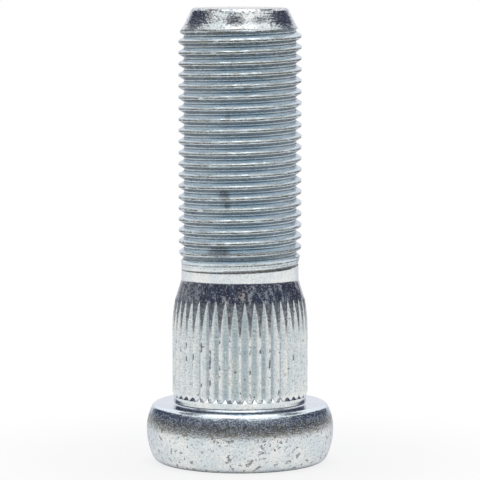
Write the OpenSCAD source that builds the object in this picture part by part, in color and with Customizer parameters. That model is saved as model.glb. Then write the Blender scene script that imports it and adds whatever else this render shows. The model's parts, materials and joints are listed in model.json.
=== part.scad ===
// Wheel stud: a press-in stud for a car's wheel hub, forged, rolled and zinc plated in one piece.
// It stands on its head. The origin is the middle of the head's outer face, and +Z runs
// along the shank to the tip. From the head up come a plain neck, the serrations that bite
// into the hub, a shoulder cone, a plain band, the threaded length and the chamfered tip.

/* [Whole stud] */
// Length over all, from the head's outer face to the tip
stud_len = 58; // [48:0.5:110]

/* [Head] */
// Diameter of the head at its widest ring
head_d = 23.9; // [21:0.1:30]
// Height of the head
head_h = 7.6; // [6.5:0.1:11]
// Height of the widest ring above the outer face
widest_z = 4.3; // [3:0.1:5]
// How far the side has drawn in by the level of the outer face
outer_draw_in = 1.15; // [0.3:0.05:2]
// How far the side has drawn in by the level of the seating face
seat_draw_in = 0.95; // [0.3:0.05:1.8]
// Radius of the edge round the outer face
outer_edge_r = 1.5; // [0.5:0.1:2.5]
// Radius of the edge round the seating face
seat_edge_r = 0.9; // [0.3:0.1:1.5]

/* [Neck] */
// Length of the plain neck, from the seating face to the foot of the serrations
neck_len = 0.95; // [0.6:0.05:4]
// How far the neck lies below the crests of the serrations
neck_step = 0.18; // [0.05:0.01:0.4]
// Radius of the fillet between the neck and the seating face
neck_fillet_r = 0.2; // [0.1:0.05:0.5]

/* [Serrations] */
// Diameter over the crests
serration_d = 17.3; // [16.5:0.05:20]
// Length from the foot to the corner of the shoulder
serration_len = 12.25; // [8:0.25:20]
// Number of grooves
groove_count = 42; // [24:1:60]
// Depth of a groove, from the crests to its root
groove_depth = 0.54; // [0.25:0.01:0.8]
// Angle between the two flanks of a groove
groove_angle = 90; // [70:1:110]
// Length over which a groove's root climbs out to the neck
groove_runout = 0.55; // [0.3:0.05:1.5]
// Height of the bevel at the foot of the crests
foot_bevel = 0.5; // [0.2:0.05:2]
// Length over which the crests curve up from the corner to their full diameter
lead_len = 4.2; // [1:0.1:6]
// How far the crests lie below full height at the corner
lead_drop = 0.36; // [0.1:0.01:0.4]

/* [Shoulder and plain band] */
// Length of the cone between the serrations and the plain band
shoulder_len = 2.6; // [1:0.1:6]
// Length of the plain band
band_len = 1.55; // [0.5:0.05:6]
// How far the plain band lies below the crests of the thread
band_step = 0.4; // [0.2:0.01:0.8]

/* [Thread and tip] */
// Diameter over the crests of the thread
thread_d = 15.75; // [12:0.05:16.2]
// Length over which the last turn fades into the plain band
fade_len = 0.8; // [0.4:0.1:3]
// Diameter of the flat end of the tip
tip_d = 12.1; // [8:0.1:14]
// Angle of the tip's chamfer from the axis
tip_angle = 26; // [20:1:45]
// Radius of the edge round the flat end
tip_edge_r = 0.6; // [0.1:0.05:1]

/* [Hidden] */
$fn = 180;
// How far one form runs on into the next, so that they join or cut cleanly
overlap = 1;
// How far the run-out of a groove passes below the foot of the crests
runout_past = 0.05;
// Share of the way from an arc's centre to its chord at which the stock under the arc starts
under_chord = 0.9;

head_r = head_d / 2;
serration_r = serration_d / 2;
neck_r = serration_r - neck_step;
root_r = serration_r - groove_depth;
thread_r = thread_d / 2;
band_r = thread_r - band_step;
tip_r = tip_d / 2;

// Heights of the stations along the shank
foot_z = head_h + neck_len;
corner_z = foot_z + serration_len;
band_z = corner_z + shoulder_len;
fade_z = band_z + band_len;
chamfer_z = stud_len - (thread_r - tip_r) / tan(tip_angle);

// Radius of the arc that draws in by draw over a height of rise, upright where it starts
function draw_in_r(draw, rise) = (rise * rise + draw * draw) / (2 * draw);

// A point at radius r and angle a round the point c
function polar(c, r, a) = c + r * [cos(a), sin(a)];

// The part of a disc that lies between two angles, without its middle: it lays a true arc
// over the straight side of an outline
module arc_edge(c, r, from, to) {
    middle = (from + to) / 2;
    under = under_chord * r * cos((to - from) / 2);
    past = (r + overlap) / cos((to - from) / 4);
    intersection() {
        translate(c) circle(r);
        polygon([polar(c, under, from), polar(c, past, from), polar(c, past, middle),
                 polar(c, past, to), polar(c, under, to)]);
    }
}

// Half of the head: two side arcs meet upright at the widest ring, and an edge radius rolls
// each of them into its flat face
module head_outline() {
    outer_r = draw_in_r(outer_draw_in, widest_z);
    outer_c = [head_r - outer_r, widest_z];
    outer_edge_x = outer_c.x + sqrt(pow(outer_r - outer_edge_r, 2) - pow(widest_z - outer_edge_r, 2));
    outer_edge_c = [outer_edge_x, outer_edge_r];
    outer_a = -acos((outer_edge_x - outer_c.x) / (outer_r - outer_edge_r));

    rise = head_h - widest_z;
    seat_r = draw_in_r(seat_draw_in, rise);
    seat_c = [head_r - seat_r, widest_z];
    seat_edge_x = seat_c.x + sqrt(pow(seat_r - seat_edge_r, 2) - pow(rise - seat_edge_r, 2));
    seat_edge_c = [seat_edge_x, head_h - seat_edge_r];
    seat_a = acos((seat_edge_x - seat_c.x) / (seat_r - seat_edge_r));

    polygon([[0, 0], [outer_edge_x, 0], polar(outer_c, outer_r, outer_a), [head_r, widest_z],
             polar(seat_c, seat_r, seat_a), [seat_edge_x, head_h], [0, head_h]]);
    arc_edge(outer_edge_c, outer_edge_r, -90, outer_a);
    arc_edge(outer_c, outer_r, outer_a, 0);
    arc_edge(seat_c, seat_r, 0, seat_a);
    arc_edge(seat_edge_c, seat_edge_r, seat_a, 90);
}

// Half of the shank, over the crests of the serrations and of the thread
module shank_outline() {
    edge_c = [tip_r - tip_edge_r * tan((90 - tip_angle) / 2), stud_len - tip_edge_r];
    lead_r = draw_in_r(lead_drop, lead_len);
    lead_c = [serration_r - lead_r, corner_z - lead_len];
    lead_a = asin(lead_len / lead_r);
    start_z = head_h - overlap;
    polygon([[0, start_z], [neck_r, start_z], [neck_r, foot_z], [serration_r, foot_z + foot_bevel],
             [serration_r, lead_c.y], [serration_r - lead_drop, corner_z],
             [band_r, band_z], [band_r, fade_z], [thread_r, fade_z + fade_len],
             [thread_r, chamfer_z], polar(edge_c, tip_edge_r, tip_angle), [edge_c.x, stud_len],
             [0, stud_len]]);
    arc_edge(lead_c, lead_r, 0, lead_a);
    arc_edge(edge_c, tip_edge_r, tip_angle, 90);
}

// The fillet that carries the neck into the seating face
module neck_fillet() {
    difference() {
        translate([neck_r - neck_fillet_r, head_h - neck_fillet_r]) square(2 * neck_fillet_r);
        translate([neck_r + neck_fillet_r, head_h + neck_fillet_r]) circle(neck_fillet_r);
    }
}

// Everything that the rolling die presses out of the serrated length: a ring whose inside is
// a star of V teeth, closed at the foot by the cone on which each root climbs out to the neck
module serration_grooves() {
    step = 360 / groove_count;
    flank = tan(groove_angle / 2);
    peak_r = root_r * flank / (flank - tan(step / 2)) / cos(step / 2);
    outside_r = max(peak_r, serration_r) + overlap;
    die_z = foot_z - neck_len / 4;
    die_len = serration_len + shoulder_len + neck_len / 4;
    climb = (neck_r - root_r) / groove_runout;
    runout_len = groove_runout + 2 * foot_bevel;
    end_z = foot_z - runout_past;
    difference() {
        translate([0, 0, die_z]) linear_extrude(die_len) difference() {
            circle(outside_r);
            polygon([for (i = [0:groove_count - 1], peak = [0, 1])
                polar([0, 0], peak == 1 ? peak_r : root_r, (i + peak / 2) * step)]);
        }
        rotate_extrude() polygon([
            [0, end_z - overlap], [neck_r + climb * overlap, end_z - overlap],
            [neck_r - climb * runout_len, end_z + runout_len], [0, end_z + runout_len]]);
    }
}

module wheel_stud() {
    color([0.78, 0.8, 0.83]) difference() {
        rotate_extrude() union() {
            head_outline();
            shank_outline();
            neck_fillet();
        }
        serration_grooves();
    }
}

wheel_stud();
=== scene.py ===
# %% [markdown]
# # A zinc-plated wheel stud
# A wheel stud is pressed into a car's hub from behind, and the wheel's nut runs on its thread.
# It is one piece of steel: forged to a head, rolled twice (serrations, then thread) and plated.
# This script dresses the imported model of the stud: it keeps its sizes and adds what rolling and
# plating leave behind, which is the helix, the seams, the pits and the speckled zinc.

# %% Load the frame
import json
import math

import bmesh
import bpy
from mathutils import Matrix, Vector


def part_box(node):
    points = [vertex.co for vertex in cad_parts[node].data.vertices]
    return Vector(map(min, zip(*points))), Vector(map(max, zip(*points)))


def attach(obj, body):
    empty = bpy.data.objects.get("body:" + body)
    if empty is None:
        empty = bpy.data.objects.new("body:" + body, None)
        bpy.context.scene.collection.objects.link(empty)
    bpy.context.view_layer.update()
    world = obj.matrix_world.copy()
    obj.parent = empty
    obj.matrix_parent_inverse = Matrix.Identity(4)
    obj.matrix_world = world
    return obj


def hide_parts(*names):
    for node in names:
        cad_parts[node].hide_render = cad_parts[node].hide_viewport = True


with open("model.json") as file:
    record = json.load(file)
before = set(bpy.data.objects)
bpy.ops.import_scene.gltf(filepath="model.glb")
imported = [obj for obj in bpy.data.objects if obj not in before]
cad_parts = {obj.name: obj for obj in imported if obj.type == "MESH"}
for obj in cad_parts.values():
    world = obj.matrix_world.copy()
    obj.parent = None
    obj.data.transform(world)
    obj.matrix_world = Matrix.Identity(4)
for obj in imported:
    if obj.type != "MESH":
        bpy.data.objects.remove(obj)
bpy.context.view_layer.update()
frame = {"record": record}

MM = 0.001
TURN = 2 * math.pi
mounts = {mount["name"]: mount for mount in frame["record"]["mounts"]}
stud_low, stud_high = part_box("wheel_stud")
STUD_LEN = stud_high[2] - stud_low[2]
print(f"stud {STUD_LEN / MM:.1f} mm long, head {(stud_high[0] - stud_low[0]) / MM:.1f} mm across")

# %% [markdown]
# ## The camera
# The photograph was taken from close by: 400 mm from the stud's axis, a little above its tip.
# That is why the rings near the tip look flat, and those at the head are open ellipses. The
# distance and height were fitted to the thread's crests, and the lens to the width of the thread.

# %% Camera
CAMERA_AWAY = 0.400
CAMERA_HEIGHT = 0.06701
CAMERA_DOWN = math.radians(5.51)
FOCAL_PX = 3150
PHOTO_PX = 480

camera = bpy.data.objects.new("camera", bpy.data.cameras.new("camera"))
camera.data.sensor_width = 36
camera.data.lens = camera.data.sensor_width * FOCAL_PX / PHOTO_PX
camera.location = (0, -CAMERA_AWAY, CAMERA_HEIGHT)
camera.rotation_euler = (math.pi / 2 - CAMERA_DOWN, 0, 0)
bpy.context.collection.objects.link(camera)
bpy.context.scene.camera = camera
print(f"lens {camera.data.lens:.0f} mm")

# %% [markdown]
# ## Arithmetic that draws nodes
# Both the shape and the finish below are formulas. Wiring Math nodes by hand hides a formula,
# so a small class wraps a socket, and each operator on it adds the Math node that does the sum.

# %% A wire that can be calculated with
def plug(value, socket):
    """Links a wire to a socket, or sets the socket to a plain value."""
    if isinstance(value, Wire):
        value.tree.links.new(value.socket, socket)
    else:
        socket.default_value = value


class Wire:
    """A value on its way through a node tree."""

    def __init__(self, tree, socket):
        self.tree, self.socket = tree, socket

    def math(self, operation, *values):
        """Adds a Math node that works on the values, and returns what comes out."""
        node = self.tree.nodes.new("ShaderNodeMath")
        node.operation = operation
        for value, socket in zip(values, node.inputs):
            plug(value, socket)
        return Wire(self.tree, node.outputs[0])

    def __add__(self, other):
        return self.math("ADD", self, other)

    def __radd__(self, other):
        return self.math("ADD", other, self)

    def __sub__(self, other):
        return self.math("SUBTRACT", self, other)

    def __rsub__(self, other):
        return self.math("SUBTRACT", other, self)

    def __mul__(self, other):
        return self.math("MULTIPLY", self, other)

    def __rmul__(self, other):
        return self.math("MULTIPLY", other, self)

    def __truediv__(self, other):
        return self.math("DIVIDE", self, other)

    def __rtruediv__(self, other):
        return self.math("DIVIDE", other, self)

    def __pow__(self, other):
        return self.math("POWER", self, other)

    def __neg__(self):
        return self.math("MULTIPLY", self, -1)

    def __abs__(self):
        return self.math("ABSOLUTE", self)

    def __gt__(self, other):
        return self.math("GREATER_THAN", self, other)

    def __lt__(self, other):
        return self.math("LESS_THAN", self, other)

    def node(self, kind, inputs=None, output=0, **settings):
        return add_node(self.tree, kind, inputs, output, **settings)

    def smoother(self, low, high):
        """0 below low, 1 above high, and a smooth step between them."""
        return self.node("ShaderNodeMapRange", {"Value": self, "From Min": low, "From Max": high},
                         interpolation_type="SMOOTHSTEP")


def add_node(tree, kind, inputs=None, output=0, **settings):
    """Adds any node: its settings first, then its sockets by name or number."""
    node = tree.nodes.new(kind)
    for name, value in settings.items():
        setattr(node, name, value)
    for name, value in (inputs or {}).items():
        plug(value, node.inputs[name])
    return Wire(tree, node.outputs[output])


def minimum(a, b):
    return a.math("MINIMUM", a, b)


def maximum(a, b):
    return a.math("MAXIMUM", a, b)


def soft_minimum(a, b, reach):
    return a.math("SMOOTH_MIN", a, b, reach)


def soft_maximum(a, b, reach):
    return a.math("SMOOTH_MAX", a, b, reach)


def clamp(value, low, high):
    return minimum(maximum(value, low), high)


# %% [markdown]
# ## Outlines
# Turned forms start as half an outline: radius and height of every ring, in millimetres, from
# the pole or the edge where the last form ended. Rings lie close together only where the
# outline bends.

# %% Outline helpers
def line(start, end, steps):
    """Points after start, up to end."""
    shares = [k / steps for k in range(1, steps + 1)]
    return [(start[0] + (end[0] - start[0]) * t, start[1] + (end[1] - start[1]) * t) for t in shares]


def arc(centre, radius, start, end, steps):
    """Points on an arc, both ends included, with its angles in degrees."""
    angles = [math.radians(start + (end - start) * k / steps) for k in range(steps + 1)]
    return [(centre[0] + radius * math.cos(a), centre[1] + radius * math.sin(a)) for a in angles]


def arch(start, end, steps):
    """Points on a curve that leaves start upright and bends ever more towards end."""
    shares = [k / steps for k in range(1, steps + 1)]
    return [(start[0] + (end[0] - start[0]) * t ** 2, start[1] + (end[1] - start[1]) * t) for t in shares]


def outline_mesh(name, rings):
    """A mesh with one point for each ring: x is its radius and z its height, in metres."""
    mesh = bpy.data.meshes.new(name)
    mesh.from_pydata([(radius * MM, 0, height * MM) for radius, height in rings], [], [])
    return mesh


# %% [markdown]
# ## The grid behind every form
# Each form is a flat grid that a node tree bends round the axis: its columns become angles and
# its rows become rings. The first and the last column meet, and Merge by Distance welds them.
# A number that should be whole may come out a hair too small, so it gets a nudge before it is
# rounded.

# %% Trees and their inputs
WELD = 0.001 * MM
NUDGE = 0.001


def new_tree(name, inputs):
    """A geometry tree with named inputs, each a kind of socket and the value it starts with."""
    tree = bpy.data.node_groups.new(name, "GeometryNodeTree")
    tree.interface.new_socket("Geometry", in_out="INPUT", socket_type="NodeSocketGeometry")
    for title, (kind, value) in inputs.items():
        socket = tree.interface.new_socket(title, in_out="INPUT", socket_type="NodeSocket" + kind)
        socket.default_value = value
    tree.interface.new_socket("Geometry", in_out="OUTPUT", socket_type="NodeSocketGeometry")
    source = tree.nodes.new("NodeGroupInput")
    wires = {socket.name: Wire(tree, socket) for socket in source.outputs if socket.name}
    return tree, wires


def bent_grid(tree, columns, rows):
    """A grid with the given number of cells each way, and each point's column and row."""
    grid = tree.nodes.new("GeometryNodeMeshGrid")
    plug(columns + 1, grid.inputs["Vertices X"])
    plug(rows + 1, grid.inputs["Vertices Y"])
    place = add_node(tree, "GeometryNodeInputPosition")
    x = add_node(tree, "ShaderNodeSeparateXYZ", {0: place}, 0)
    y = add_node(tree, "ShaderNodeSeparateXYZ", {0: place}, 1)
    column = x.math("ROUND", (x + 0.5) * columns)
    row = y.math("ROUND", (y + 0.5) * rows)
    return Wire(tree, grid.outputs["Mesh"]), column, row


def wrap(mesh, angle, radius, height):
    """Moves the grid's points to an angle, a radius and a height."""
    tree = mesh.tree
    place = add_node(tree, "ShaderNodeCombineXYZ", {
        "X": radius * angle.math("COSINE", angle), "Y": radius * angle.math("SINE", angle), "Z": height})
    return add_node(tree, "GeometryNodeSetPosition", {"Geometry": mesh, "Position": place})


def noise(tree, place, scale, detail=2.0, roughness=0.5):
    """Noise from 0 to 1 at a place, with scale in features to one unit of the place."""
    return add_node(tree, "ShaderNodeTexNoise",
                    {"Vector": place, "Scale": scale, "Detail": detail, "Roughness": roughness})


def ring_place(angle, height, features_round, features_up):
    """A place for noise that meets itself after one turn: scales round the axis and to a metre up."""
    return add_node(angle.tree, "ShaderNodeCombineXYZ", {
        "X": angle.math("COSINE", angle) * features_round, "Y": angle.math("SINE", angle) * features_round,
        "Z": height * features_up})


def finish_tree(mesh, material):
    """The end of every tree: welded, smooth, with no instances left, and with its material."""
    tree = mesh.tree
    mesh = add_node(tree, "GeometryNodeMergeByDistance", {"Geometry": mesh, "Distance": WELD})
    mesh = add_node(tree, "GeometryNodeSetShadeSmooth", {"Geometry": mesh})
    mesh = add_node(tree, "GeometryNodeRealizeInstances", {"Geometry": mesh})
    mesh = add_node(tree, "GeometryNodeSetMaterial", {"Geometry": mesh, "Material": material})
    output = tree.nodes.new("NodeGroupOutput")
    plug(mesh, output.inputs[0])


def grow(name, base, tree, values):
    """Runs a tree on a base mesh and returns the plain mesh that comes out."""
    piece = bpy.data.objects.new(name, base)
    bpy.context.collection.objects.link(piece)
    modifier = piece.modifiers.new(name, "NODES")
    modifier.node_group = tree
    sockets = {item.name: item.identifier for item in tree.interface.items_tree if item.in_out == "INPUT"}
    for title, value in values.items():
        modifier[sockets[title]] = value
    evaluated = piece.evaluated_get(bpy.context.evaluated_depsgraph_get())
    mesh = bpy.data.meshes.new_from_object(evaluated)
    bpy.data.objects.remove(piece)
    print(f"{name}: {len(mesh.vertices)} points, {len(mesh.polygons)} faces")
    return mesh


# %% [markdown]
# ## Sizes that the forms share
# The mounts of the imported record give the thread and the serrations. The rest are the stud's own
# sizes, in millimetres, and each height is a sum along the shank.

# %% Sizes
THREAD_R = mounts["threaded_shank"]["dims"]["r_mm"]
CREST_R = mounts["serrations"]["dims"]["r_mm"]
SERRATION_LEN = mounts["serrations"]["dims"]["length_mm"]
HEAD_H = mounts["seating_face"]["pos_m"][2] / MM
HEAD_R = (stud_high[0] - stud_low[0]) / 2 / MM
TIP_Z = STUD_LEN / MM
NECK_LEN, NECK_STEP = 0.95, 0.18
SHOULDER_LEN = 2.6
BAND_LEN, BAND_STEP = 1.55, 0.4
TIP_R = 6.05
TIP_ANGLE = 26

NECK_R = CREST_R - NECK_STEP
FOOT_Z = HEAD_H + NECK_LEN
CORNER_Z = FOOT_Z + SERRATION_LEN
BAND_Z = CORNER_Z + SHOULDER_LEN
BAND_R = THREAD_R - BAND_STEP
THREAD_Z = BAND_Z + BAND_LEN
print(f"foot {FOOT_Z:.2f}, corner {CORNER_Z:.2f}, band {BAND_Z:.2f}, thread {THREAD_Z:.2f}, tip {TIP_Z:.2f}")

# columns round the head, the thread and the tip, and heights where one form meets the next
COARSE = 168
NECK_SEAM_Z = HEAD_H + 0.5
BAND_SEAM_Z = BAND_Z + 1.2

# %% Zinc, with no finish yet
zinc = bpy.data.materials.new("zinc_plate")

# %% [markdown]
# ## A lathe
# The head and the tip are plain turned forms. The tree reads the outline that it is given, one
# point for each row of the grid.

# %% Lathe tree
def outline_at(tree, outline, row):
    """Radius and height of the outline's ring number row."""
    place = add_node(tree, "GeometryNodeInputPosition")
    ring = add_node(tree, "GeometryNodeSampleIndex", {"Geometry": outline, "Value": place, "Index": row},
                    data_type="FLOAT_VECTOR", domain="POINT")
    return (add_node(tree, "ShaderNodeSeparateXYZ", {0: ring}, 0),
            add_node(tree, "ShaderNodeSeparateXYZ", {0: ring}, 2))


def lathe_tree():
    """Bends the grid round the axis so that each row is a ring of the outline."""
    tree, given = new_tree("lathe", {"Columns": ("Int", COARSE), "Material": ("Material", None)})
    rings = add_node(tree, "GeometryNodeAttributeDomainSize", {"Geometry": given["Geometry"]},
                     "Point Count", component="MESH")
    mesh, column, row = bent_grid(tree, given["Columns"], rings - 1)
    radius, height = outline_at(tree, given["Geometry"], row)
    mesh = wrap(mesh, column / given["Columns"] * TURN, radius, height)
    finish_tree(mesh, given["Material"])
    return tree


lathe = lathe_tree()

# %% [markdown]
# ## The head
# The side is forged between two dies, so it bulges: it is widest above the middle and draws in
# towards both faces. Each side arc starts upright at the widest ring, and its radius follows
# from how far it draws in over its height. A smaller edge radius rolls it into the flat face.

# %% Head
WIDEST_Z = 4.3
OUTER_DRAW_IN, OUTER_EDGE_R = 1.15, 1.5
SEAT_DRAW_IN, SEAT_EDGE_R = 0.95, 0.9
FILLET_R = 0.2


def side_arc(draw_in, rise, edge_r):
    """A side arc's radius, how far its edge's centre is from the axis, and where the two meet."""
    side_r = (rise ** 2 + draw_in ** 2) / (2 * draw_in)
    middle = HEAD_R - side_r
    edge_x = middle + math.sqrt((side_r - edge_r) ** 2 - (rise - edge_r) ** 2)
    return side_r, edge_x, math.degrees(math.acos((edge_x - middle) / (side_r - edge_r)))


def head_outline():
    """Half of the head, from the middle of its outer face to the neck."""
    outer_r, outer_x, outer_a = side_arc(OUTER_DRAW_IN, WIDEST_Z, OUTER_EDGE_R)
    seat_r, seat_x, seat_a = side_arc(SEAT_DRAW_IN, HEAD_H - WIDEST_Z, SEAT_EDGE_R)
    rings = [(0, 0), *line((0, 0), (outer_x, 0), 5)]
    rings += arc((outer_x, OUTER_EDGE_R), OUTER_EDGE_R, -90, -outer_a, 8)[1:]
    rings += arc((HEAD_R - outer_r, WIDEST_Z), outer_r, -outer_a, 0, 8)[1:]
    rings += arc((HEAD_R - seat_r, WIDEST_Z), seat_r, 0, seat_a, 7)[1:]
    rings += arc((seat_x, HEAD_H - SEAT_EDGE_R), SEAT_EDGE_R, seat_a, 90, 7)[1:]
    fillet_foot = (NECK_R + FILLET_R, HEAD_H)
    rings += line((seat_x, HEAD_H), fillet_foot, 4)
    rings += arc((NECK_R + FILLET_R, HEAD_H + FILLET_R), FILLET_R, 270, 180, 5)[1:]
    return rings + [(NECK_R, NECK_SEAM_Z)]


head_mesh = grow("head", outline_mesh("head_outline", head_outline()), lathe,
                 {"Columns": COARSE, "Material": zinc})

# %% [markdown]
# ## The serrations
# A die rolls 42 V grooves into the blank, and the steel that they push aside rises into narrow
# crests. The metal is always the lower of two surfaces: the envelope, which is the outline over
# the crests, and the groove, whose floor climbs out to the neck at its foot. A grid with even
# columns would cut the edges between the two into teeth, so the columns follow the edges: each
# groove has a column at its root, one at each corner, one along the middle of each crest, and
# the others share the room between them.

# %% Serration sizes
GROOVES = 42
FLANK = 90 / 2
GROOVE_DEPTH = 0.54
ROOT_R = CREST_R - GROOVE_DEPTH
RUN_OUT, RUN_OUT_PAST = 0.55, 0.05
FOOT_BEVEL = 0.5
LEAD_LEN, LEAD_DROP = 4.2, 0.36
CREST_SEAM_DEPTH = 0.06
FLANK_COLUMNS, CREST_COLUMNS = 4, 2
GROOVE_COLUMNS = 2 * (FLANK_COLUMNS + CREST_COLUMNS)
EVEN_CORNER = FLANK_COLUMNS / (FLANK_COLUMNS + CREST_COLUMNS)
LEAST_CORNER = 0.03
# lengths over which the columns move across, from the edges of one form to those of the next
EASE_LANCET, EASE_FOOT, EASE_FACET = 0.9, 0.3, 0.2
CORNER_R = CREST_R - LEAD_DROP
LANCET_Z = CORNER_Z + (BAND_Z - CORNER_Z) * (CORNER_R - ROOT_R) / (CORNER_R - BAND_R)
print(f"grooves reach up to {LANCET_Z:.2f}")


def serration_outline():
    """The envelope: the outline over the crests, from the neck to the plain band."""
    runout_end = (NECK_R, FOOT_Z - RUN_OUT_PAST)
    rings = [(NECK_R, NECK_SEAM_Z), *line((NECK_R, NECK_SEAM_Z), runout_end, 3), (NECK_R, FOOT_Z)]
    rings += line((NECK_R, FOOT_Z), (CREST_R, FOOT_Z + FOOT_BEVEL), 8)
    rings += line((CREST_R, FOOT_Z + FOOT_BEVEL), (CREST_R, CORNER_Z - LEAD_LEN), 25)
    rings += arch((CREST_R, CORNER_Z - LEAD_LEN), (CORNER_R, CORNER_Z), 17)
    rings += line((CORNER_R, CORNER_Z), (ROOT_R, LANCET_Z), 5)
    rings += line((ROOT_R, LANCET_Z), (BAND_R, BAND_Z), 8)
    return rings + line((BAND_R, BAND_Z), (BAND_R, BAND_SEAM_Z), 4)


# %% Serration tree
def serration_tree():
    """Bends the grid round the axis and rolls the grooves into the envelope."""
    tree, given = new_tree("serrations", {
        "Grooves": ("Int", GROOVES), "Root radius": ("Float", 0.0), "Flank angle": ("Float", 0.8),
        "Neck radius": ("Float", 0.0), "Foot height": ("Float", 0.0), "Run-out": ("Float", 0.5),
        "Lancet height": ("Float", 0.0), "Seam depth": ("Float", 0.0), "Material": ("Material", None)})
    outline, flank, root = given["Geometry"], given["Flank angle"], given["Root radius"]
    rings = add_node(tree, "GeometryNodeAttributeDomainSize", {"Geometry": outline}, "Point Count",
                     component="MESH")
    mesh, column, row = bent_grid(tree, given["Grooves"] * GROOVE_COLUMNS, rings - 1)
    envelope, height = outline_at(tree, outline, row)
    half_step = TURN / 2 / given["Grooves"]

    # where the flank of a groove meets the envelope, as a share of the way to the crest
    corner = flank - flank.math("ARCSINE", root * flank.math("SINE", flank) / maximum(envelope, root))
    corner = maximum(corner / half_step, LEAST_CORNER)
    past_lancets = clamp((height - given["Lancet height"]) / (EASE_LANCET * MM), 0, 1)
    corner = maximum(corner, past_lancets * EVEN_CORNER)
    below_foot = clamp((given["Foot height"] - height) / (EASE_FOOT * MM), 0, 1)
    corner = corner + (EVEN_CORNER - corner) * below_foot

    # the end rings take only some columns, to weld to the coarser forms beside them
    at_end = (row < 0.5) + (row > rings - 1.5)
    every = given["Grooves"] * GROOVE_COLUMNS / COARSE
    snapped = column.math("ROUND", column / every) * every
    column = column + (snapped - column) * at_end
    corner = corner + (EVEN_CORNER - corner) * at_end

    # columns from the root of the nearest groove, turned into a share of the way to the crest:
    # half of a flank's columns end where the run-out's facet ends, and the rest at the corner
    groove = column.math("ROUND", column / GROOVE_COLUMNS + NUDGE)
    side = column - groove * GROOVE_COLUMNS
    steps = abs(side)
    left = 1 - clamp((height - given["Foot height"]) / given["Run-out"], 0, 1)
    run_out = root + (given["Neck radius"] - root) * left
    facet = flank - flank.math("ARCSINE", root * flank.math("SINE", flank) / maximum(run_out, root))
    above_facet = height - given["Foot height"] - given["Run-out"]
    above_facet = clamp(above_facet / (EASE_FACET * MM), 0, 1)
    middle = maximum(facet / half_step, corner / 2 * maximum(above_facet, below_foot))
    middle = minimum(middle, corner)
    middle = middle + (corner / 2 - middle) * maximum(below_foot, at_end)
    half_flank = FLANK_COLUMNS / 2
    on_flank = minimum(steps, half_flank) / half_flank * middle
    on_flank = on_flank + clamp(steps - half_flank, 0, half_flank) / half_flank * (corner - middle)
    on_crest = maximum(steps - FLANK_COLUMNS, 0) / CREST_COLUMNS * (1 - corner)
    share = on_flank + on_crest
    turned = share * half_step
    angle = groove * 2 * half_step + turned * side.math("SIGN", side)

    floor = root * flank.math("SINE", flank) / flank.math("SINE", flank - turned)
    floor = maximum(floor, run_out)
    radius = minimum(envelope, floor)

    # the seam along the middle of a crest, deep only where the noise says so
    pitted = noise(tree, ring_place(angle, height, 9, 750), 1.0, 3.0)
    pitted = 0.15 + 0.85 * pitted.smoother(0.50, 0.64)
    along = (height - given["Foot height"]).smoother(0.6 * MM, 1.2 * MM)
    along = along * (given["Lancet height"] - height).smoother(0.2 * MM, 2.0 * MM)
    pit = (steps - FLANK_COLUMNS).smoother(0.0, CREST_COLUMNS) * along * pitted
    radius = radius - pit * given["Seam depth"]

    mesh = wrap(mesh, angle, radius, height)
    finish_tree(mesh, given["Material"])
    return tree


serration_base = outline_mesh("serration_outline", serration_outline())
serration_mesh = grow("serrations", serration_base, serration_tree(), {
    "Grooves": GROOVES, "Root radius": ROOT_R * MM, "Flank angle": math.radians(FLANK),
    "Neck radius": NECK_R * MM, "Foot height": (FOOT_Z - RUN_OUT_PAST) * MM, "Run-out": RUN_OUT * MM,
    "Lancet height": LANCET_Z * MM, "Seam depth": CREST_SEAM_DEPTH * MM, "Material": zinc})

# %% [markdown]
# ## The thread
# The rows of this grid climb one pitch as they go once round, so a row stays on the crest, the
# flank or the root all the way, and the edges of the thread come out clean. After one turn a row
# meets the row of the next turn, and the weld joins them. Above and below, the rows are held at
# a level ring, where the turned forms take over.

# %% Thread sizes
PITCH = 25.4 / 18
THREAD_ROOT_R = 7.12
# the height of one crest where the angle is zero, and where the tip's form takes over
CREST_AT_ZERO = 53.0
THREAD_HIGH = 56.3
PITCH_ROWS, ROWS_GATHER = 12, 0.35
CREST_LAND, CREST_LEAN = 0.30, 0.30
ROOT_ROUND, CREST_ROUND = 0.05, 0.04
FLANK_SLOPE = math.tan(math.radians(60))
# from and to these heights the grooves deepen and the crests rise to the full form
BITE_Z = (24.5, 27.3)
RISE_Z = (25.2, 27.8)
THREAD_SEAM_DEPTH = 0.04
SETTLE_LEN = 0.3
FLARE_FROM, FLARE_SLOPE = 1.9, 0.09
CHAMFER_SLOPE = math.tan(math.radians(TIP_ANGLE))
FIRST_TURN = math.floor((BAND_SEAM_Z - CREST_AT_ZERO) / PITCH) - 1
TURNS = math.ceil((THREAD_HIGH - CREST_AT_ZERO) / PITCH) - FIRST_TURN
print(f"{(THREAD_HIGH - BAND_SEAM_Z) / PITCH:.1f} turns of thread, made from {TURNS}")


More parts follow.
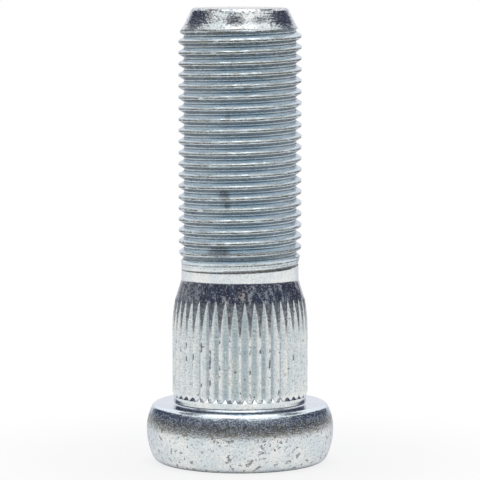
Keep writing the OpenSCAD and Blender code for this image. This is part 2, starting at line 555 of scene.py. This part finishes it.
# %% Thread tree
def thread_tree():
    """Winds the grid up the shank as one helix and gives it the form of the thread."""
    tree, given = new_tree("thread", {
        "Pitch": ("Float", 0.0), "Crest radius": ("Float", 0.0), "Root radius": ("Float", 0.0),
        "Band radius": ("Float", 0.0), "Low end": ("Float", 0.0), "High end": ("Float", 0.0),
        "First crest": ("Float", 0.0), "Tip radius": ("Float", 0.0),
        "Tip height": ("Float", 0.0), "Chamfer slope": ("Float", 0.5), "Seam depth": ("Float", 0.0),
        "Lean": ("Float", 0.2), "Turns": ("Int", 20), "Material": ("Material", None)})
    pitch = given["Pitch"]
    mesh, column, row = bent_grid(tree, COARSE, given["Turns"] * PITCH_ROWS)
    round_by = column / COARSE
    angle = round_by * TURN

    # rows gather at the crest and at the root, where the form bends
    turn = row.math("FLOOR", row / PITCH_ROWS + NUDGE)
    part = row / PITCH_ROWS - turn
    part = part - part.math("SINE", part * 2 * TURN) * (ROWS_GATHER / (2 * TURN))
    height = given["First crest"] + (turn + part + round_by) * pitch
    height = clamp(height, given["Low end"], given["High end"])

    # how far the die has bitten, and how far the metal has risen, above the run-out of the thread
    bitten = (height / MM).smoother(*BITE_Z)
    risen = (height / MM).smoother(*RISE_Z)
    rise = given["Crest radius"] - given["Band radius"]
    top = given["Band radius"] + rise * risen
    root = given["Root radius"] + (given["Band radius"] - given["Root radius"]) * (1 - bitten)

    # the form: flanks of 60 degrees between a round root and a crest whose land leans downwards
    from_crest = (height - given["First crest"]) / pitch - round_by
    above = from_crest.math("WRAP", from_crest, 0.5, -0.5) * pitch
    from_crest = abs(above)
    flank = given["Crest radius"] - (from_crest - CREST_LAND / 2 * MM) * FLANK_SLOPE
    flank = flank + (root - given["Root radius"])
    land = top + (above - CREST_LAND / 2 * MM) * given["Lean"] * risen
    form = soft_maximum(flank, root, ROOT_ROUND * MM)
    form = soft_minimum(form, land, CREST_ROUND * MM)

    # rolled crests close up from both sides and leave a thin seam
    worn = noise(tree, ring_place(angle, height, 5, 600), 1.0, 3.0)
    seam = 1 - (from_crest / pitch).smoother(0.008, 0.05)
    form = form - seam * given["Seam depth"] * (0.35 + worn) * risen

    # the chamfer cuts the form off at the tip, and flares where rolling has pushed metal up
    to_tip = given["Tip height"] - height
    flare = maximum(to_tip - FLARE_FROM * MM, 0) * FLARE_SLOPE
    chamfer = given["Tip radius"] + to_tip * given["Chamfer slope"] + flare
    radius = soft_minimum(form, chamfer, CREST_ROUND * MM)

    # the lowest ring is the band's own, to weld to it
    settled = clamp((height - given["Low end"]) / (SETTLE_LEN * MM), 0, 1)
    radius = given["Band radius"] + (radius - given["Band radius"]) * settled

    mesh = wrap(mesh, angle, radius, height)
    finish_tree(mesh, given["Material"])
    return tree


thread_mesh = grow("thread", bpy.data.meshes.new("thread_start"), thread_tree(), {
    "Pitch": PITCH * MM, "Crest radius": THREAD_R * MM, "Root radius": THREAD_ROOT_R * MM,
    "Band radius": BAND_R * MM, "Low end": BAND_SEAM_Z * MM, "High end": THREAD_HIGH * MM,
    "First crest": (CREST_AT_ZERO + FIRST_TURN * PITCH) * MM,
    "Tip radius": TIP_R * MM, "Tip height": TIP_Z * MM, "Chamfer slope": CHAMFER_SLOPE,
    "Lean": CREST_LEAN, "Seam depth": THREAD_SEAM_DEPTH * MM, "Turns": TURNS, "Material": zinc})

# %% [markdown]
# ## The tip
# A cone leads the nut on. Its edge is rounded, and the end face is flat.

# %% Tip
TIP_EDGE_R = 0.6


def tip_outline():
    """Half of the tip, from the end of the thread's form to the middle of the end face."""
    low_r = TIP_R + (TIP_Z - THREAD_HIGH) * CHAMFER_SLOPE
    edge = (TIP_R - TIP_EDGE_R * math.tan(math.radians(90 - TIP_ANGLE) / 2), TIP_Z - TIP_EDGE_R)
    rounded = arc(edge, TIP_EDGE_R, TIP_ANGLE, 90, 6)
    rings = [(low_r, THREAD_HIGH), *line((low_r, THREAD_HIGH), rounded[0], 6), *rounded[1:]]
    return rings + line(rounded[-1], (0, TIP_Z), 5)


tip_mesh = grow("tip", outline_mesh("tip_outline", tip_outline()), lathe,
                {"Columns": COARSE, "Material": zinc})

# %% [markdown]
# ## One closed stud
# The four forms end in rings of the same points, so the weld makes one skin of them. The stud
# replaces the plain solid of the imported model, which stays, hidden.

# %% Weld
SHARP_FROM = math.radians(30)


def weld(name, meshes):
    """Joins meshes end to end and welds the rings that they share."""
    form = bmesh.new()
    for mesh in meshes:
        form.from_mesh(mesh)
    bmesh.ops.remove_doubles(form, verts=form.verts, dist=2 * WELD)
    bmesh.ops.dissolve_degenerate(form, edges=form.edges, dist=WELD)
    bmesh.ops.recalc_face_normals(form, faces=form.faces)
    loose = sum(1 for edge in form.edges if len(edge.link_faces) != 2)
    joined = bpy.data.meshes.new(name)
    form.to_mesh(joined)
    triangles = sum(len(face.verts) - 2 for face in form.faces)
    volume = form.calc_volume(signed=True) / MM ** 3
    print(f"{name}: {triangles} triangles, {loose} open edges, {volume:.0f} mm3")
    form.free()
    joined.materials.append(zinc)
    return joined


stud_mesh = weld("zinc_plated_stud", [head_mesh, serration_mesh, thread_mesh, tip_mesh])
stud = bpy.data.objects.new("zinc_plated_stud", stud_mesh)
bpy.context.collection.objects.link(stud)
stud_mesh.shade_smooth()
stud_mesh.set_sharp_from_angle(angle=SHARP_FROM)
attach(stud, "root")
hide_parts("wheel_stud")

# %% [markdown]
# ## The zinc: places on it
# The finish changes from form to form, so the material first works out where a point lies: its
# height, how far round its pitch of thread, and how far across its groove. Noises of several
# sizes then break up every mask, because plate and dirt are never even.

# %% Shader helpers
def mix(factor, first, second):
    """A colour between two, by a factor from 0 to 1."""
    return add_node(factor.tree, "ShaderNodeMix", {0: factor, 6: first, 7: second}, 2, data_type="RGBA")


def mix_number(factor, first, second):
    """A number between two, by a factor from 0 to 1."""
    return first + (second - first) * factor


def between(value, low, low_full, high_full, high):
    """1 from low_full to high_full, with a smooth step to 0 at low and at high."""
    return value.smoother(low, low_full) * (1 - value.smoother(high_full, high))


def near(value, full, end):
    """1 within full of zero, and 0 beyond end."""
    return 1 - abs(value).smoother(full, end)


def patchy(least, pattern, low, high):
    """At least this much everywhere, and 1 where the pattern is strong."""
    return least + (1 - least) * pattern.smoother(low, high)


def stretch(place, x, y, z):
    """A place with each axis scaled, so that a pattern on it is drawn out."""
    return add_node(place.tree, "ShaderNodeVectorMath", {0: place, 1: (x, y, z)}, operation="MULTIPLY")


def by_stops(value, full, stops, unit=1):
    """A number that follows a value from 0 to full: stops are pairs of a value and the number."""
    ramp = value.tree.nodes.new("ShaderNodeValToRGB")
    plug(value / full, ramp.inputs[0])
    ramp.color_ramp.elements.remove(ramp.color_ramp.elements[1])
    for place, number in stops:
        stop = ramp.color_ramp.elements.new(place / full)
        stop.color = (number / unit, number / unit, number / unit, 1)
    ramp.color_ramp.elements.remove(ramp.color_ramp.elements[0])
    return Wire(value.tree, ramp.outputs[0]) * unit


# %% Places
zinc.use_nodes = True
tree = zinc.node_tree
tree.nodes.clear()
place = stretch(add_node(tree, "ShaderNodeTexCoord", None, "Object"), 1 / MM, 1 / MM, 1 / MM)
x, y, z = (add_node(tree, "ShaderNodeSeparateXYZ", {0: place}, axis) for axis in range(3))
angle = y.math("ARCTAN2", y, x)

# forms along the shank
head_side = 1 - z.smoother(HEAD_H - 1.4, HEAD_H - 0.4)
head_top = between(z, WIDEST_Z + 0.1, WIDEST_Z + 1.5, HEAD_H - 0.2, HEAD_H + 0.2)
on_serrations = between(z, FOOT_Z + 0.35, FOOT_Z + 0.85, CORNER_Z - 0.5, CORNER_Z + 0.1)
on_cone = between(z, CORNER_Z - 0.2, CORNER_Z + 0.6, BAND_Z - 0.1, BAND_Z + 0.1)
on_thread = between(z, THREAD_Z + 0.05, THREAD_Z + 1.05, TIP_Z - 2.8, TIP_Z - 2.4)
on_tip = z.smoother(TIP_Z - 3.2, TIP_Z - 2.4)

# where in its pitch of thread, in its groove and round the stud
phase = (z - CREST_AT_ZERO) / PITCH - angle / TURN
phase = phase.math("WRAP", phase, 0.5, -0.5)
across = abs(angle.math("WRAP", angle * (GROOVES / TURN), 0.5, -0.5))
near_side = 1 - y.smoother(-5, -3)
front = near(x - 0.3, 1.0, 6.0) * near_side

# %% Noise
clouds = noise(tree, place, 0.35, 4.0, 0.6)
flakes = noise(tree, place, 2.4, 3.0, 0.65)
spots = noise(tree, place, 1.7, 2.0, 0.6)
fine = noise(tree, place, 6.5, 1.5, 0.6)
grain = noise(tree, place, 3.4, 1.5, 0.5)
streaks = noise(tree, stretch(place, 1.5, 1.5, 0.25), 1.0, 3.0)
dragged = noise(tree, stretch(place, 0.9, 0.9, 5.0), 1.0, 3.0)
drawn = noise(tree, stretch(place, 1.6, 1.6, 0.9), 1.0, 3.0)

CRYSTALS = {"Vector": place, "Scale": 5.5}
crystal = add_node(tree, "ShaderNodeTexVoronoi", CRYSTALS, "Color")
off_crystal = add_node(tree, "ShaderNodeTexVoronoi", CRYSTALS, "Distance")
pepper = add_node(tree, "ShaderNodeSeparateColor", {0: crystal}, 0)
dots = pepper.smoother(0.3, 0.9) * (1 - off_crystal.smoother(0.25, 0.50))
print(f"zinc: {len(tree.nodes)} nodes for places and noise")

# %% [markdown]
# ## The zinc: colour
# Fresh zinc is nearly white with a blue cast. The die has burnished the crests of the serrations,
# so they are creamy, and the roots of their grooves are painted darker and bluer, as painted shade.
# The flanks of the thread are painted darker towards the root, to a steel blue, and most at the
# front: painted shade, and a painted reflection of the camera. Small dull crystals pepper
# everything. Where each root climbs out at the foot, its facet is painted near white, a painted
# highlight of the light overhead, with a dark rim. The lands between the grooves, which the die
# never touched, are rougher, and their dark grey is a painted reflection of the dark belt. Each is
# a mask that mixes one more colour over the last.

# %% Colour of the plate
COOL_ZINC = (0.75, 0.82, 0.85, 1)
WARM_ZINC = (0.94, 0.955, 0.93, 1)
FLANK_ZINC = (0.82, 0.92, 0.98, 1)
ROOT_ZINC = (0.29, 0.46, 0.60, 1)
PEPPER_ZINC = (0.42, 0.46, 0.46, 1)
GROOVE_SHADE_ZINC = (0.62, 0.71, 0.74, 1)
ROOT_SHADE_STOPS = [(0, 0.2), (0.2, 0), (0.62, 0), (0.78, 0.3), (0.93, 0.9), (1, 0.2)]

in_groove = (1 - across.smoother(0.12, 0.36)) * on_serrations
on_crest = across.smoother(0.34, 0.46) * on_serrations
# painted shade: the thread's flanks are painted darker towards the root, and more at the front, where a
# painted reflection of the camera darkens the roots as well
root_shade = by_stops(phase + 0.5, 1, ROOT_SHADE_STOPS) * (0.3 + 0.7 * front)
root_shade = root_shade + 0.45 * front * abs(phase).smoother(0.30, 0.42)

colour = mix((0.6 * clouds + 0.4 * flakes).smoother(0.38, 0.62), COOL_ZINC, WARM_ZINC)
# painted shade: the root of each serration groove is painted darker and bluer
colour = mix(in_groove * (0.15 + 0.5 * fine.smoother(0.38, 0.58)), colour, GROOVE_SHADE_ZINC)
colour = mix(on_crest * 0.7, colour, WARM_ZINC)
colour = mix(on_thread, colour, FLANK_ZINC)
colour = mix(head_top, colour, FLANK_ZINC)
colour = mix(root_shade * on_thread * (0.4 + dragged), colour, ROOT_ZINC)
colour = mix(dots * (0.35 + 0.30 * on_thread + 0.20 * on_serrations), colour, PEPPER_ZINC)
colour = mix(fine.smoother(0.50, 0.62) * on_serrations * 0.3, colour, PEPPER_ZINC)

# %% Colour of the facets and the lands
LAND_ZINC = (0.26, 0.28, 0.31, 1)
FACET_HIGHLIGHT_ZINC = (0.98, 0.99, 1.00, 1)
FACET_LOW_Z = FOOT_Z - RUN_OUT_PAST
FACET_TIP_Z = FACET_LOW_Z + 0.58
FACET_STEEP = 2
# a height, and how far across a groove the land starts there, from 0 at the root to 0.5
LAND_FROM = [(16.5, 0.40), (17.5, 0.385), (18.5, 0.34), (19.5, 0.265),
             (20.2, 0.185), (20.8, 0.11), (21.3, 0)]

facet_edge = (FACET_TIP_Z - z) / FACET_STEEP - across
facet = z.smoother(FACET_LOW_Z, FACET_LOW_Z + 0.06) * facet_edge.smoother(-0.02, 0.02)
facet_rim = between(z, FACET_LOW_Z, FACET_LOW_Z + 0.06, FACET_TIP_Z + 0.02, FACET_TIP_Z + 0.32)
facet_rim = facet_rim * near(facet_edge, 0.03, 0.10)
colour = mix(facet_rim * flakes.smoother(0.40, 0.55) * 0.6, colour, LAND_ZINC)
# painted highlight: each facet at the foot of the serrations faces up and is painted near white, for the
# light overhead that it mirrors
colour = mix(facet, colour, FACET_HIGHLIGHT_ZINC)

land = (across - by_stops(z, TIP_Z, LAND_FROM)).smoother(-0.03, 0.02)
land = land * between(z, CORNER_Z - 4.8, CORNER_Z - 1.8, CORNER_Z + 0.1, CORNER_Z + 0.5)
# painted reflection: the lands lean back where the crests drop towards the cone, and their dark grey stands
# for the dark belt that they mirror
colour = mix(land * patchy(0.45, grain, 0.38, 0.58), colour, LAND_ZINC)
print(f"zinc: {len(tree.nodes)} nodes with its colour")

# %% [markdown]
# ## The zinc: dirt and painted light
# A dark line runs along each seam and each root of the thread and its last groove, painted shade
# lies under each crest and on the front crests, and pits run along the crests of the serrations.
# The head is peppered with small dull flecks. Dark patches lie at listed spots on the front of the
# thread and on the chamfer, with scuffs round the chamfer, and dark navy streaks run up the cone.
# The head's side above its widest ring is painted dark tan in patches, a painted reflection of the
# dark belt. Dirt is no metal, so the mask that darkens the colour with dirt and painted shade also
# takes the metal away.

# %% Dark lines and painted shade in the thread
OLIVE = (0.19, 0.17, 0.085, 1)

line_at = phase + 0.04 * (dragged - 0.5) + 0.06 * (grain - 0.5)
seam = near(line_at + 0.03, 0.03, 0.09) * on_thread
seam = seam * dragged.smoother(0.32, 0.48) * patchy(0.3, fine, 0.40, 0.52)
# painted shade under each crest, where the lower flank lies in shadow
under = near(line_at + 0.25, 0.04, 0.10) * on_thread * patchy(0.2, flakes, 0.40, 0.58)
# painted shade over the front crests' highlight, for the camera's dark reflection
crown = near(line_at - 0.13, 0.03, 0.10) * on_thread * front * dragged.smoother(0.40, 0.58)
# darker along each root of the thread, and in its last groove at the band
valley = near(line_at - 0.43, 0.015, 0.06) * (0.2 + 0.8 * dragged)
valley = valley * between(z, BAND_Z + 1.0, BAND_Z + 1.4, TIP_Z - 3.0, TIP_Z - 2.4)
last_groove = near(line_at - 0.47, 0.04, 0.12) * patchy(0.2, flakes, 0.42, 0.58)
last_groove = last_groove * patchy(0.35, x, -3, 5)
last_groove = last_groove * between(z, BAND_Z + 0.8, BAND_Z + 1.2, BAND_Z + 2.6, BAND_Z + 3.6)
dark_lines_and_shade = seam * 1.1 + under * 0.7 + crown * 0.45 + valley + last_groove
dark_lines_and_shade = clamp(dark_lines_and_shade * (1 + 0.4 * z.smoother(44, 54)), 0, 1)

# %% Dark patches, scuffs, stains and painted reflection
NAVY = (0.05, 0.055, 0.09, 1)
SOOT = (0.05, 0.05, 0.055, 1)
RUSTY_ZINC = (0.95, 0.68, 0.55, 1)
TAN_ZINC = (0.42, 0.40, 0.31, 1)
# middle across and up, then half of the width and of the height, in millimetres
DARK_PATCHES = [(-1.5, 44.5, 0.4, 0.4), (-2.0, 34.6, 1.0, 0.8), (-1.6, 33.4, 0.5, 0.5),
           (-2.6, 27.5, 1.8, 0.9), (-6.0, 32.2, 0.3, 0.3), (0.8, 48.2, 0.5, 0.4),
           (-0.65, 56.5, 1.4, 0.8), (2.4, 56.6, 1.1, 0.5)]


def dark_patch_at(middle_x, middle_z, half_width, half_height):
    """A spot on the near side, with an edge that is ragged on the chamfer."""
    off_middle = ((x - middle_x) / half_width) ** 2 + ((z - middle_z) / half_height) ** 2
    return (1 - (off_middle + ragged).smoother(0.2, 1.0)) * near_side


ragged = 3 * (flakes - 0.5) * z.smoother(TIP_Z - 4, TIP_Z - 3)
dark_patch = sum(dark_patch_at(*spot) for spot in DARK_PATCHES) * patchy(0.45, grain, 0.35, 0.60)
scuff = z.smoother(TIP_Z - 2.7, TIP_Z - 2.2) * flakes.smoother(0.53, 0.62)
scuff = scuff + z.smoother(TIP_Z - 0.8, TIP_Z - 0.4) * grain.smoother(0.50, 0.60)
stain = near(x - 0.2, 0.3, 0.8) * (1 - y.smoother(-6, -5)) * grain.smoother(0.35, 0.6)
stain = stain * between(z, CORNER_Z + 0.4, CORNER_Z + 1.0, BAND_Z - 0.9, BAND_Z - 0.3)
dark_streaks = on_cone * (1 - streaks.smoother(0.38, 0.52))
# painted reflection: a dark tan in patches over the head's side above its widest ring, for the dark belt
# that it mirrors
band_reflection = between(z, WIDEST_Z, WIDEST_Z + 0.9, WIDEST_Z + 1.6, WIDEST_Z + 2.3)
band_reflection = band_reflection * patchy(0.3, flakes, 0.42, 0.56)

# %% Pits and flecks
PIT_GREY = (0.13, 0.15, 0.135, 1)
FLECK = (0.15, 0.14, 0.12, 1)

crest_pit = (across + 0.2 * (flakes - 0.5)).smoother(0.38, 0.45)
crest_pit = crest_pit * on_serrations * drawn.smoother(0.575, 0.625)
stray_pit = flakes.smoother(0.66, 0.70) * on_serrations * clouds.smoother(0.42, 0.55)
pits = crest_pit + stray_pit
fleck = spots.smoother(0.585, 0.64) * head_side * clouds.smoother(0.34, 0.54)

# %% Dirt and painted light over the plate
colour = mix(stain * 0.4, colour, RUSTY_ZINC)
colour = mix(band_reflection * 0.8, colour, TAN_ZINC)
# the thread's dark lines and painted shade, in olive
colour = mix(dark_lines_and_shade, colour, OLIVE)
colour = mix(dark_streaks * 0.35, colour, NAVY)
colour = mix(dark_patch * on_thread * 0.55, colour, SOOT)
colour = mix(clamp(dark_patch * 0.75 + scuff * 0.5, 0, 0.8) * on_tip, colour, NAVY)
colour = mix(fleck * 0.55, colour, FLECK)
colour = mix(clamp(pits, 0, 1) * 0.75, colour, PIT_GREY)
# pits and flecks, with the thread's dark lines and painted shade
dirt_and_shade = clamp(pits + fleck * 0.7 + dark_lines_and_shade * 0.7, 0, 1)
print(f"zinc: {len(tree.nodes)} nodes with its dirt")

# %% [markdown]
# ## The zinc: how it mirrors
# The forms differ in finish too. The head is grained from forging, the band and the seating face
# are nearly polished, and the chamfer and the cone carry marks of the tool. Roughness blurs what
# the metal mirrors, and a fine relief breaks it into specks. Some crystals of zinc are so coarse
# that they scatter the whole room: pale specks in the dark parts, dull specks in the bright ones.

# %% Finish up the stud
# each stop is a height in millimetres and the number there
ROUGH = [(0, 0.22), (4.6, 0.22), (5.4, 0.26), (6.4, 0.25), (7.2, 0.13), (8.4, 0.12),
         (9.1, 0.10), (9.4, 0.20), (20.6, 0.20), (21.2, 0.10), (23.2, 0.10), (23.6, 0.10),
         (24.8, 0.16), (26, 0.24), (55, 0.24), (56.0, 0.09), (58, 0.09)]
SPECKLED = [(0, 0.5), (5.0, 1.0), (7.0, 1.0), (7.5, 0.3), (8.7, 0.1),
            (20.6, 0.15), (21.2, 0.9), (23.2, 0.9), (23.6, 0.1),
            (25, 0.2), (55.4, 0.2), (56.0, 0.7), (58, 0.7)]
RELIEF = [(0, 0.6), (4.8, 0.6), (5.4, 0.8), (6.6, 0.8), (7.3, 0.3), (7.5, 0.1),
          (9.1, 0.1), (9.3, 0.25), (20.4, 0.25), (21.2, 0.2), (23.2, 0.2), (23.6, 0.1),
          (24.8, 0.2), (26, 0.5), (55, 0.5), (56.0, 0.55), (58, 0.4)]
RELIEF_DEPTH = 0.05
DULL_THREAD = 0.25
STEEL_TINT = (0.8, 0.8, 0.86, 1)

film = clamp(streaks.smoother(0.47, 0.62) + (-x).smoother(3.6, 6.8) + stain, 0, 1) * on_cone
film = film * patchy(0.35, grain, 0.38, 0.60)
speck = by_stops(z, TIP_Z, SPECKLED) * (0.4 + 0.9 * flakes.smoother(0.40, 0.60))
roughness = by_stops(z, TIP_Z, ROUGH) + speck * dots + film * 0.4 + dirt_and_shade * 0.3 + land * 0.25
metal = (1 - dirt_and_shade * 0.8) * (1 - DULL_THREAD * on_thread)
texture = mix_number(head_side * z.smoother(WIDEST_Z + 0.3, WIDEST_Z + 1.1), grain, fine)
height = (texture + 0.12 * pepper) * by_stops(z, TIP_Z, RELIEF) - dirt_and_shade * 0.4
bump = add_node(tree, "ShaderNodeBump", {"Strength": 1.0, "Distance": RELIEF_DEPTH * MM, "Height": height})

# %% The zinc's shader
shader = tree.nodes.new("ShaderNodeBsdfPrincipled")
shader.inputs["Specular Tint"].default_value = STEEL_TINT
plug(colour, shader.inputs["Base Color"])
plug(metal, shader.inputs["Metallic"])
plug(roughness, shader.inputs["Roughness"])
plug(bump, shader.inputs["Normal"])
output = tree.nodes.new("ShaderNodeOutputMaterial")
tree.links.new(shader.outputs[0], output.inputs["Surface"])
print(f"zinc: {len(tree.nodes)} nodes in all")

# %% [markdown]
# ## The studio
# Bright metal shows the room more than itself. In the photograph, walls that stand upright
# reflect a white table and look pale, surfaces that lean back between 5 and 27 degrees look dark,
# and those that lean further are pale again. So the room has a pale floor, a broad soft light
# overhead, a pale wall behind and a dark belt between floor and light. The floor keeps the
# stud's shadow, and only what the camera or a mirror sees of it is made whiter.

# %% Floor
FLOOR_R = 3.0
floor_mesh = bpy.data.meshes.new("floor")
form = bmesh.new()
bmesh.ops.create_circle(form, cap_ends=True, segments=96, radius=FLOOR_R)
form.to_mesh(floor_mesh)
form.free()
floor = bpy.data.objects.new("floor", floor_mesh)
bpy.context.collection.objects.link(floor)

paper = bpy.data.materials.new("paper_floor")
paper.use_nodes = True
tree = paper.node_tree
tree.nodes.clear()

# metres from the axis: where the shadow fades for the camera, and where a mirror sees white
SHADE_FROM, SHADE_TO = 0.012, 0.05
MIRRORED_FROM, MIRRORED_TO = 0.0100, 0.0115
PAPER = (0.9, 0.9, 0.9, 1)
WHITE = (1, 1, 1, 1)
lit = add_node(tree, "ShaderNodeBsdfDiffuse", {"Color": PAPER})
white = add_node(tree, "ShaderNodeEmission", {"Color": WHITE, "Strength": 1.0})
seen = add_node(tree, "ShaderNodeLightPath", None, "Is Camera Ray")
mirrored = add_node(tree, "ShaderNodeLightPath", None, "Is Glossy Ray")
coordinates = add_node(tree, "ShaderNodeTexCoord", None, "Object")
away = add_node(tree, "ShaderNodeVectorMath", {0: coordinates}, "Value", operation="LENGTH")
whiten = seen * (0.8 + 0.2 * away.smoother(SHADE_FROM, SHADE_TO))
whiten = whiten + mirrored * 0.6 * away.smoother(MIRRORED_FROM, MIRRORED_TO)
mixed = add_node(tree, "ShaderNodeMixShader", {0: whiten, 1: lit, 2: white})
output = tree.nodes.new("ShaderNodeOutputMaterial")
plug(mixed, output.inputs["Surface"])
floor_mesh.materials.append(paper)
print(f"floor {2 * FLOOR_R:.0f} m across")

# %% [markdown]
# ## The room
# The world is a function of two angles: how high a direction climbs above the level, and how far
# it swings aside from the front. The dark belt ends where the overhead light starts in front, and
# where the backdrop starts behind. Dim corners lie between that light and the backdrop, and a dark
# boom carries the light. The camera itself sees only the pale room.

# %% Directions in the room
DEGREES = 360 / TURN
world = bpy.data.worlds.new("room")
bpy.context.scene.world = world
world.use_nodes = True
tree = world.node_tree
tree.nodes.clear()
toward = add_node(tree, "ShaderNodeTexCoord", None, "Generated")
x, y, z = (add_node(tree, "ShaderNodeSeparateXYZ", {0: toward}, axis) for axis in range(3))
climb = z.math("ARCSINE", z) * DEGREES
swing = x.math("ARCTAN2", x, -y) * DEGREES
aside = abs(swing)

# %% Room
PALE_ROOM = (1, 1, 1, 1)
DARK_BELT = (0.055, 0.06, 0.095, 1)
DIM_CORNER = (0.08, 0.085, 0.10, 1)
# swing from the front, and how high the belt reaches there
BELT_TOP = [(0, 44), (30, 43), (60, 42), (75, 40), (105, 38), (120, 34), (135, 27), (150, 13), (160, 0)]
BOOM_SWING = -13

above_belt = climb - by_stops(aside, 180, BELT_TOP, 90)
belt = climb.smoother(-1.5, 1.0) * (1 - above_belt.smoother(-2, 2)) * (1 - aside.smoother(148, 160))
corner = between(aside, 80, 100, 150, 165) * between(climb, 42, 48, 56, 66)
boom = near(swing - BOOM_SWING, 14, 26) * between(climb, 40, 42, 78, 87)
boom = boom * (1 - 0.9 * climb.smoother(48, 53))

room = mix(corner * 0.9, PALE_ROOM, DIM_CORNER)
room = mix(boom * 0.95, room, DARK_BELT)
room = mix(belt, room, DARK_BELT)
seen = add_node(tree, "ShaderNodeLightPath", None, "Is Camera Ray")
room = mix(seen, room, PALE_ROOM)
light = add_node(tree, "ShaderNodeBackground", {"Color": room, "Strength": 1.0})
output = tree.nodes.new("ShaderNodeOutputWorld")
plug(light, output.inputs["Surface"])
print(f"room: {len(tree.nodes)} nodes")

# %% Lamp
LAMP_PLACE = (0, -0.1, 0.75)
LAMP_SIZE, LAMP_POWER = 0.6, 1.2
lamp = bpy.data.objects.new("softbox", bpy.data.lights.new("softbox", "AREA"))
lamp.data.shape = "SQUARE"
lamp.data.size = LAMP_SIZE
lamp.data.energy = LAMP_POWER
lamp.location = LAMP_PLACE
bpy.context.collection.objects.link(lamp)
print(f"softbox of {lamp.data.energy:.1f} W, {LAMP_PLACE[2]:.2f} m up")

# %% [markdown]
# ## The view
# The standard view shows a colour about as it is written.

# %% View
bpy.context.scene.view_settings.view_transform = "Standard"
